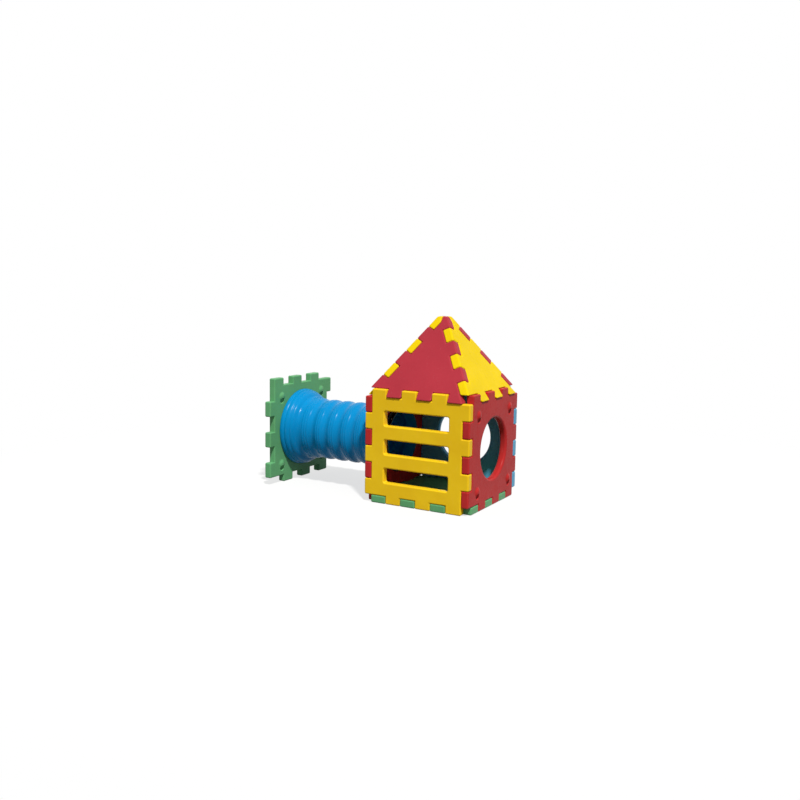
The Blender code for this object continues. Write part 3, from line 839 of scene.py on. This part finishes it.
def tunnel_section(sizes, neck):
    """The wall's closed section as (radius, z), out along its outside and back inside."""
    bore = neck - sizes.wall
    neck_end = -(THICKNESS + COLLAR_LENGTH)
    outer_end = [(neck, neck_end + NECK_TAPER), (neck, BELL_GAP)]
    for step in range(LIP_STEPS + 1):
        angle = math.pi / 2 * step / LIP_STEPS
        outer_end.append((MOUTH_RADIUS - LIP * (1 - math.sin(angle)),
                          BELL_GAP + LIP * (1 - math.cos(angle))))
    inner_end = [(bore + NECK_EDGE, neck_end), (bore, neck_end + NECK_EDGE_LENGTH),
                 (bore, sizes.flange - CONE_LENGTH), (bore + CONE_STEP, sizes.flange)]
    outside = wall_side(sizes, outer_end, LIP_END, sizes.outside_steps, True)
    inside = wall_side(sizes, inner_end, sizes.flange, sizes.inside_steps, False)
    return outside + inside[::-1]


def ring_profile(bm, points, sides, place):
    """Turns a closed section, given as (radius, z), into a ring about Z."""
    verts = [bm.verts.new((radius, 0, z)) for radius, z in points]
    edges = [bm.edges.new(pair) for pair in zip(verts, verts[1:] + verts[:1])]
    spin_about_z(bm, verts, edges, sides)
    bmesh.ops.remove_doubles(bm, verts=bm.verts, dist=RING_WELD)
    bmesh.ops.recalc_face_normals(bm, faces=bm.faces)
    bmesh.ops.transform(bm, matrix=place, verts=bm.verts)


def along_x(x, way):
    """Places a turned piece through the holes' middle, with its Z along +X (1) or -X (-1)."""
    return Matrix.Translation((x, 0, WALL_CENTRE)) @ Matrix.Rotation(way * math.pi / 2, 4, "Y")


class PLAYHOUSE_OT_crawl_tunnel(bpy.types.Operator):
    """Ribbed tunnel with a bell at each end"""
    bl_idname = "playhouse.crawl_tunnel"
    bl_label = "Crawl tunnel"

    def execute(self, context):
        sizes = context.scene.tunnel_sizes
        neck = context.scene.panel_sizes.hole_radius - SEAM
        bm = bmesh.new()
        ring_profile(bm, tunnel_section(sizes, neck), sizes.sides, along_x(-WALL_FACE, -1))
        settle(new_object("ribbed_tunnel", bm), "crawl_tunnel", "tunnel_blue")
        return {"FINISHED"}


class PLAYHOUSE_OT_collars(bpy.types.Operator):
    """Collar and screws behind each tunnel panel"""
    bl_idname = "playhouse.collars"
    bl_label = "Collars"

    def execute(self, context):
        sizes = context.scene.tunnel_sizes
        inner = context.scene.panel_sizes.hole_radius + COLLAR_STEP
        sleeve = inner + sizes.collar_wall
        length = COLLAR_LENGTH
        flange = sizes.collar_flange
        edge = COLLAR_EDGE
        section = [(inner, COLLAR_GAP), (COLLAR_FLANGE_RADIUS - edge, COLLAR_GAP),
                   (COLLAR_FLANGE_RADIUS, edge), (COLLAR_FLANGE_RADIUS, flange - edge),
                   (COLLAR_FLANGE_RADIUS - edge, flange), (sleeve + edge, flange),
                   (sleeve, flange + edge), (sleeve, length - edge), (sleeve - edge, length),
                   (inner + edge, length), (inner, length - edge)]
        stand = Matrix.Translation((sleeve, 0, (flange + length) / 2))
        stand = stand @ Matrix.Rotation(math.pi / 2, 4, "Y")
        places = {"house": along_x(-HALF, 1), "end": along_x(END_BACK, -1)}
        for where, place in places.items():
            bm = bmesh.new()
            ring_profile(bm, section, sizes.sides, place)
            settle(new_object(where + "_clamp_collar", bm), where + "_collar", "collar_black")
            for index in range(sizes.screw_count):
                turn = Matrix.Rotation(2 * math.pi * (index + 0.5) / sizes.screw_count, 4, "Z")
                self.add_screw(sizes, where, index + 1, place @ turn @ stand)
        return {"FINISHED"}

    def add_screw(self, sizes, where, number, place):
        """Pan head with a cross recess, its shank through the sleeve."""
        radius, rise = sizes.screw_head, sizes.screw_rise
        profile = [(0.0, rise)]
        for step in range(1, HEAD_STEPS + 1):
            angle = math.pi / 2 * step / HEAD_STEPS
            dome = HEAD_RIM + (1 - HEAD_RIM) * math.cos(angle)
            profile.append((radius * math.sin(angle), rise * dome))
        profile += [(radius, 0.0), (SHANK_RADIUS, 0.0), (SHANK_RADIUS, -SHANK_END), (0.0, -TIP_END)]
        bm = bmesh.new()
        spun(bm, profile, SCREW_SIDES, place)
        bmesh.ops.remove_doubles(bm, verts=bm.verts, dist=RING_WELD)
        bmesh.ops.recalc_face_normals(bm, faces=bm.faces)
        screw = new_object(f"{where}_screw_{number}", bm)
        size = Matrix.Diagonal((radius * RECESS_LENGTH, radius * RECESS_WIDTH, rise, 1))
        for quarter in range(2):
            bm = bmesh.new()
            bmesh.ops.create_cube(bm, size=1.0, matrix=place @ Matrix.Translation((0, 0, rise))
                                  @ Matrix.Rotation(quarter * math.pi / 2, 4, "Z") @ size)
            cut(screw, new_object("recess", bm))
        settle(screw, f"{where}_collar_screw_{number}", "screw_steel")


# Stage: the floor's reach each way, its drop under the object, its roughness, and the distances
# between which it turns white
FLOOR_REACH = 30.0
FLOOR_DROP = 0.0005
FLOOR_ROUGHNESS = 0.9
FLOOR_FADE = (1.2, 4.5)
WHITE = (1.0, 1.0, 1.0)
SURROUND_TINT = (0.93, 0.96, 1.0)
KEY_TINT = (1.0, 0.975, 0.93)
KEY_ANGLE = math.radians(4)
SENSOR_WIDTH = 36.0


def combined(tree, operation, first, second):
    """The result of a Math node on two sockets."""
    node = tree.nodes.new("ShaderNodeMath")
    node.operation = operation
    tree.links.new(first, node.inputs[0])
    tree.links.new(second, node.inputs[1])
    return node.outputs["Value"]


def seen_rays(tree):
    """1 for the rays that show a surface to the eye: camera, glossy and transmission rays."""
    rays = tree.nodes.new("ShaderNodeLightPath").outputs
    total = rays["Is Camera Ray"]
    for kind in ("Is Glossy Ray", "Is Transmission Ray"):
        total = combined(tree, "MAXIMUM", total, rays[kind])
    return total


def choose_shader(tree, share, usual, seen, output):
    """Feeds the named output with the usual shader and, by its share, the seen one."""
    node = tree.nodes.new("ShaderNodeMixShader")
    tree.links.new(share, node.inputs["Fac"])
    tree.links.new(usual, node.inputs[1])
    tree.links.new(seen, node.inputs[2])
    tree.links.new(node.outputs["Shader"], tree.nodes[output].inputs["Surface"])


def pale_floor(settings):
    """Throws little light back. It is seen pale, and plain white far away, but keeps the shadow."""
    material, tree, shader, coords = new_material("pale_floor")
    seen = seen_rays(tree)
    tone = colour_mix(tree, seen, [settings.floor_bounce] * 3, [settings.floor_tone] * 3)
    tree.links.new(tone, shader.inputs["Base Color"])
    shader.inputs["Roughness"].default_value = FLOOR_ROUGHNESS
    shader.inputs["Specular IOR Level"].default_value = 0.0
    away = tree.nodes.new("ShaderNodeVectorMath")
    away.operation = "LENGTH"
    tree.links.new(coords, away.inputs[0])
    whiter = spread(tree, away.outputs["Value"], FLOOR_FADE, (settings.floor_white, 1.0))
    white = tree.nodes.new("ShaderNodeEmission")
    white.inputs["Strength"].default_value = 1.0
    choose_shader(tree, combined(tree, "MULTIPLY", whiter, seen), shader.outputs["BSDF"],
                  white.outputs["Emission"], "Material Output")
    return material


def add_floor(settings):
    bm = bmesh.new()
    bmesh.ops.create_grid(bm, x_segments=1, y_segments=1, size=FLOOR_REACH)
    ground = new_object("ground", bm)
    ground.location = (0, 0, -FLOOR_DROP)
    ground.data.materials.append(pale_floor(settings))


def add_surround(scene, settings):
    """Soft light from all round, seen as plain white."""
    scene.world = bpy.data.worlds.new("surround")
    scene.world.use_nodes = True
    tree = scene.world.node_tree
    fill = tree.nodes["Background"]
    fill.inputs["Color"].default_value = (*SURROUND_TINT, 1)
    fill.inputs["Strength"].default_value = settings.fill_strength
    seen = tree.nodes.new("ShaderNodeBackground")
    seen.inputs["Color"].default_value = (*WHITE, 1)
    seen.inputs["Strength"].default_value = 1.0
    choose_shader(tree, seen_rays(tree), fill.outputs["Background"], seen.outputs["Background"],
                  "World Output")


def add_key_lamp(scene, settings):
    """A soft sun that shines from the key's place to the origin."""
    key = bpy.data.objects.new("key", bpy.data.lights.new("key", "SUN"))
    key.data.energy = settings.key_strength
    key.data.angle = KEY_ANGLE
    key.data.color = KEY_TINT
    key.location = settings.key_place
    key.rotation_euler = (-key.location).to_track_quat("-Z", "Y").to_euler()
    scene.collection.objects.link(key)


def add_camera(scene, settings):
    data = bpy.data.cameras.new("camera")
    data.lens = settings.lens
    data.sensor_width = SENSOR_WIDTH
    data.shift_x, data.shift_y = settings.shift
    data.dof.use_dof = False
    camera = bpy.data.objects.new("camera", data)
    scene.collection.objects.link(camera)
    look = (Matrix.Rotation(settings.yaw, 4, "Z")
            @ Matrix.Rotation(math.pi / 2 + settings.pitch, 4, "X")
            @ Matrix.Rotation(settings.roll, 4, "Z"))
    camera.matrix_world = Matrix.Translation(settings.camera_place) @ look
    scene.camera = camera


class PLAYHOUSE_OT_stage(bpy.types.Operator):
    """Pale floor, surround, key lamp and camera"""
    bl_idname = "playhouse.stage"
    bl_label = "Stage"

    def execute(self, context):
        scene = context.scene
        settings = scene.stage_settings
        add_floor(settings)
        add_surround(scene, settings)
        add_key_lamp(scene, settings)
        add_camera(scene, settings)
        scene.view_settings.view_transform = "Standard"
        return {"FINISHED"}


class PLAYHOUSE_PT_panel(bpy.types.Panel):
    """Lists the steps in order"""
    bl_label = "Panel play house"
    bl_space_type = "VIEW_3D"
    bl_region_type = "UI"
    bl_category = "Play house"

    def draw(self, context):
        for step in STEPS:
            self.layout.operator(step.bl_idname)


GROUPS = {
    "panel_sizes": PanelSizes,
    "roof_sizes": RoofSizes,
    "tunnel_sizes": TunnelSizes,
    "slot_colours": SlotColours,
    "stage_settings": StageSettings,
}
STEPS = (PLAYHOUSE_OT_stage, PLAYHOUSE_OT_floor_panel, PLAYHOUSE_OT_front_panel,
         PLAYHOUSE_OT_hole_panels, PLAYHOUSE_OT_roof_panels, PLAYHOUSE_OT_crawl_tunnel,
         PLAYHOUSE_OT_collars)


def register():
    for name, group in GROUPS.items():
        bpy.utils.register_class(group)
        setattr(bpy.types.Scene, name, PointerProperty(type=group))
    for step in STEPS:
        bpy.utils.register_class(step)
    bpy.utils.register_class(PLAYHOUSE_PT_panel)


def unregister():
    bpy.utils.unregister_class(PLAYHOUSE_PT_panel)
    for step in reversed(STEPS):
        bpy.utils.unregister_class(step)
    for name, group in reversed(list(GROUPS.items())):
        delattr(bpy.types.Scene, name)
        bpy.utils.unregister_class(group)


def main():
    """Builds every piece."""
    register()
    bpy.ops.playhouse.stage()
    bpy.ops.playhouse.floor_panel()
    bpy.ops.playhouse.front_panel()
    bpy.ops.playhouse.hole_panels()
    bpy.ops.playhouse.roof_panels()
    bpy.ops.playhouse.crawl_tunnel()
    bpy.ops.playhouse.collars()


if __name__ == "__main__":
    main()
